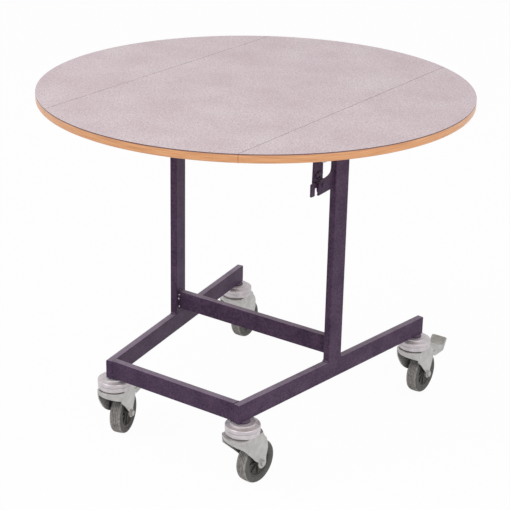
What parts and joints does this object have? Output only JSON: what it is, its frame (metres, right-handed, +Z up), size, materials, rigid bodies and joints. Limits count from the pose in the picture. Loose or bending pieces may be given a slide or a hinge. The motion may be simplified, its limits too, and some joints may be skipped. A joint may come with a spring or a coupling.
{
  "type": "room service table",
  "caption": "Round dining trolley with two drop leaves on a tilting top, carried by slim uprights over a splayed tube base on swivel casters.",
  "frame": {"origin": "on the floor, below the centre of the round top", "axes": "+Z up, +Y towards the rear where the side rails spread, +X to the right seen from the front"},
  "size_m": [0.8998, 0.9, 0.76],
  "materials": {
    "frame_paint": "semi-gloss powder coat",
    "zinc_plate": "bright zinc plate",
    "pedal_steel": "dull zinc plate",
    "wood_lipping": "clear satin lacquer",
    "core_board": "bare plywood",
    "top_laminate": "fine mottled laminate",
    "hub_plastic": "moulded",
    "tyre_rubber": "ribbed grey tread"
  },
  "bodies": {
    "base": {"left_side_rail": "frame_paint", "right_side_rail": "frame_paint", "front_rail": "frame_paint", "cross_rail": "frame_paint", "left_upright": "frame_paint", "right_upright": "frame_paint", "rail_end_caps": "frame_paint", "upright_caps": "frame_paint", "caster_bosses": "frame_paint", "pivot_bushes": "frame_paint", "latch_plate": "frame_paint", "latch_pin": "frame_paint", "front_right_collar": "zinc_plate", "front_left_collar": "zinc_plate", "rear_right_collar": "zinc_plate", "rear_left_collar": "zinc_plate"},
    "tilting_top": {"centre_board": "core_board", "centre_laminate": "top_laminate", "centre_lipping": "wood_lipping", "top_bearers": "frame_paint", "top_cross_members": "frame_paint", "pivot_bolts": "zinc_plate", "catch_bar": "frame_paint", "centre_hinge_plates": "zinc_plate", "stay_brackets": "zinc_plate"},
    "right_leaf": {"right_leaf_board": "core_board", "right_leaf_laminate": "top_laminate", "right_leaf_lipping": "wood_lipping", "right_leaf_hinge_plates": "zinc_plate", "right_leaf_lugs": "zinc_plate"},
    "left_leaf": {"left_leaf_board": "core_board", "left_leaf_laminate": "top_laminate", "left_leaf_lipping": "wood_lipping", "left_leaf_hinge_plates": "zinc_plate", "left_leaf_lugs": "zinc_plate"},
    "right_arms": {"right_stay_arms": "zinc_plate"},
    "left_arms": {"left_stay_arms": "zinc_plate"},
    "right_struts": {"right_stay_struts": "zinc_plate"},
    "left_struts": {"left_stay_struts": "zinc_plate"},
    "latch": {"latch_lever": "frame_paint"},
    "pedal": {"brake_pedal": "pedal_steel"},
    "front_pedal": {"front_brake_pedal": "pedal_steel"},
    "front_right_fork_body": {"front_right_fork": "zinc_plate"},
    "front_right_wheel": {"front_right_hub": "hub_plastic", "front_right_tyre": "tyre_rubber"},
    "front_left_fork_body": {"front_left_fork": "zinc_plate"},
    "front_left_wheel": {"front_left_hub": "hub_plastic", "front_left_tyre": "tyre_rubber"},
    "rear_right_fork_body": {"rear_right_fork": "zinc_plate"},
    "rear_right_wheel": {"rear_right_hub": "hub_plastic", "rear_right_tyre": "tyre_rubber"},
    "rear_left_fork_body": {"rear_left_fork": "zinc_plate"},
    "rear_left_wheel": {"rear_left_hub": "hub_plastic", "rear_left_tyre": "tyre_rubber"}
  },
  "joints": [
    {"name": "top_tilt", "type": "hinge", "parent": "base", "child": "tilting_top", "pos_m": [0, 0.00542, 0.712], "axis": [1, 0, 0], "range_deg": [-90, 0]},
    {"name": "right_leaf_fold", "type": "hinge", "parent": "tilting_top", "child": "right_leaf", "pos_m": [0.23, 0, 0.739], "axis": [0, 1, 0], "range_deg": [0, 90]},
    {"name": "left_leaf_fold", "type": "hinge", "parent": "tilting_top", "child": "left_leaf", "pos_m": [-0.23, 0, 0.739], "axis": [0, -1, 0], "range_deg": [0, 90]},
    {"name": "right_arm_turn", "type": "hinge", "parent": "tilting_top", "child": "right_arms", "pos_m": [0.199, -0.1, 0.719], "axis": [0, 1, 0], "range_deg": [0, 90]},
    {"name": "right_strut_turn", "type": "hinge", "parent": "right_leaf", "child": "right_struts", "pos_m": [0.32, -0.1, 0.731], "axis": [0, 1, 0], "range_deg": [-90, 0]},
    {"name": "left_arm_turn", "type": "hinge", "parent": "tilting_top", "child": "left_arms", "pos_m": [-0.199, -0.1, 0.719], "axis": [0, -1, 0], "range_deg": [0, 90]},
    {"name": "left_strut_turn", "type": "hinge", "parent": "left_leaf", "child": "left_struts", "pos_m": [-0.32, -0.1, 0.731], "axis": [0, -1, 0], "range_deg": [-90, 0]},
    {"name": "latch_turn", "type": "hinge", "parent": "base", "child": "latch", "pos_m": [0.1963, -0.052, 0.604], "axis": [1, 0, 0], "range_deg": [0, 30]},
    {"name": "front_right_swivel", "type": "hinge", "parent": "base", "child": "front_right_fork_body", "pos_m": [0.16738, -0.26697, 0.1268], "axis": [0, 0, 1], "continuous": true},
    {"name": "front_right_roll", "type": "hinge", "parent": "front_right_fork_body", "child": "front_right_wheel", "pos_m": [0.17095, -0.22612, 0.047], "axis": [0.9962, -0.0872, 0], "continuous": true},
    {"name": "front_left_swivel", "type": "hinge", "parent": "base", "child": "front_left_fork_body", "pos_m": [-0.16738, -0.26697, 0.1268], "axis": [0, 0, 1], "continuous": true},
    {"name": "front_left_roll", "type": "hinge", "parent": "front_left_fork_body", "child": "front_left_wheel", "pos_m": [-0.17868, -0.22756, 0.047], "axis": [0.9613, 0.2756, 0], "continuous": true},
    {"name": "rear_right_swivel", "type": "hinge", "parent": "base", "child": "rear_right_fork_body", "pos_m": [0.24862, 0.29681, 0.1268], "axis": [0, 0, 1], "continuous": true},
    {"name": "rear_right_roll", "type": "hinge", "parent": "rear_right_fork_body", "child": "rear_right_wheel", "pos_m": [0.24862, 0.33781, 0.047], "axis": [1, 0, 0], "continuous": true},
    {"name": "rear_left_swivel", "type": "hinge", "parent": "base", "child": "rear_left_fork_body", "pos_m": [-0.24862, 0.29681, 0.1268], "axis": [0, 0, 1], "continuous": true},
    {"name": "rear_left_roll", "type": "hinge", "parent": "rear_left_fork_body", "child": "rear_left_wheel", "pos_m": [-0.25148, 0.33771, 0.047], "axis": [0.9976, 0.0698, 0], "continuous": true},
    {"name": "brake_press", "type": "hinge", "parent": "rear_right_fork_body", "child": "pedal", "pos_m": [0.24862, 0.34681, 0.105], "axis": [1, 0, 0], "range_deg": [-11, 0]},
    {"name": "front_brake_press", "type": "hinge", "parent": "front_left_fork_body", "child": "front_pedal", "pos_m": [-0.18116, -0.2189, 0.105], "axis": [0.9613, 0.2756, 0], "range_deg": [-11, 0]}
  ],
  "couplings": [
    {"joint": "right_arm_turn", "follows": "right_leaf_fold", "ratio": 1},
    {"joint": "left_arm_turn", "follows": "left_leaf_fold", "ratio": 1},
    {"joint": "right_strut_turn", "follows": "right_leaf_fold", "ratio": -1},
    {"joint": "left_strut_turn", "follows": "left_leaf_fold", "ratio": -1}
  ]
}
